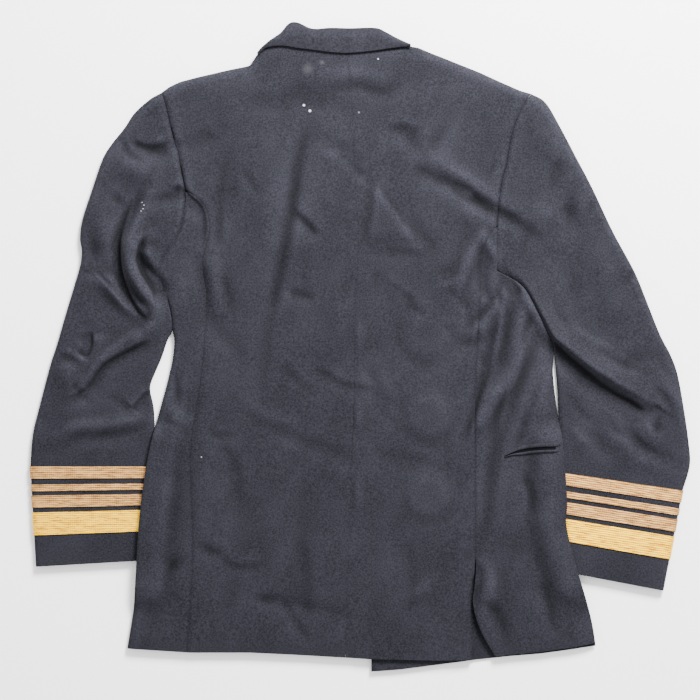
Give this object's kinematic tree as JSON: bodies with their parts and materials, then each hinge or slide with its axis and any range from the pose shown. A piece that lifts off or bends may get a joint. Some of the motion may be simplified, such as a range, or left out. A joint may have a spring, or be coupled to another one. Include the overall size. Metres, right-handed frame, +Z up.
{
  "type": "naval officer dress jacket laid flat",
  "caption": "Double-breasted navy wool uniform jacket lying flat on its front, with bands of gold lace round both cuffs.",
  "frame": {"origin": "centre of the outline on the surface that the jacket lies on", "axes": "+X to the right of the jacket's back, +Y towards its collar, +Z up from the surface"},
  "size_m": [0.8244, 0.809, 0.0183],
  "materials": {
    "navy_wool": "matt",
    "tan_lace": "satin",
    "gold_lace": "satin",
    "gilt_button": "polished"
  },
  "bodies": {
    "root": {"back_left": "navy_wool", "back_right": "navy_wool", "button_1": "gilt_button", "button_2": "gilt_button", "button_3": "gilt_button", "button_4": "gilt_button", "button_5": "gilt_button", "button_6": "gilt_button", "collar_fall": "navy_wool", "collar_stand": "navy_wool", "front_left": "navy_wool", "front_right": "navy_wool", "lapel_left": "navy_wool", "lapel_right": "navy_wool", "pocket_jet_lower": "navy_wool", "pocket_jet_upper": "navy_wool", "side_left": "navy_wool", "side_right": "navy_wool", "stripe_left_1": "tan_lace", "stripe_left_2": "tan_lace", "stripe_left_3": "tan_lace", "stripe_left_4": "gold_lace", "stripe_right_1": "tan_lace", "stripe_right_2": "tan_lace", "stripe_right_3": "tan_lace", "stripe_right_4": "gold_lace", "top_sleeve_left": "navy_wool", "top_sleeve_right": "navy_wool", "under_sleeve_left": "navy_wool", "under_sleeve_right": "navy_wool"}
  },
  "joints": []
}
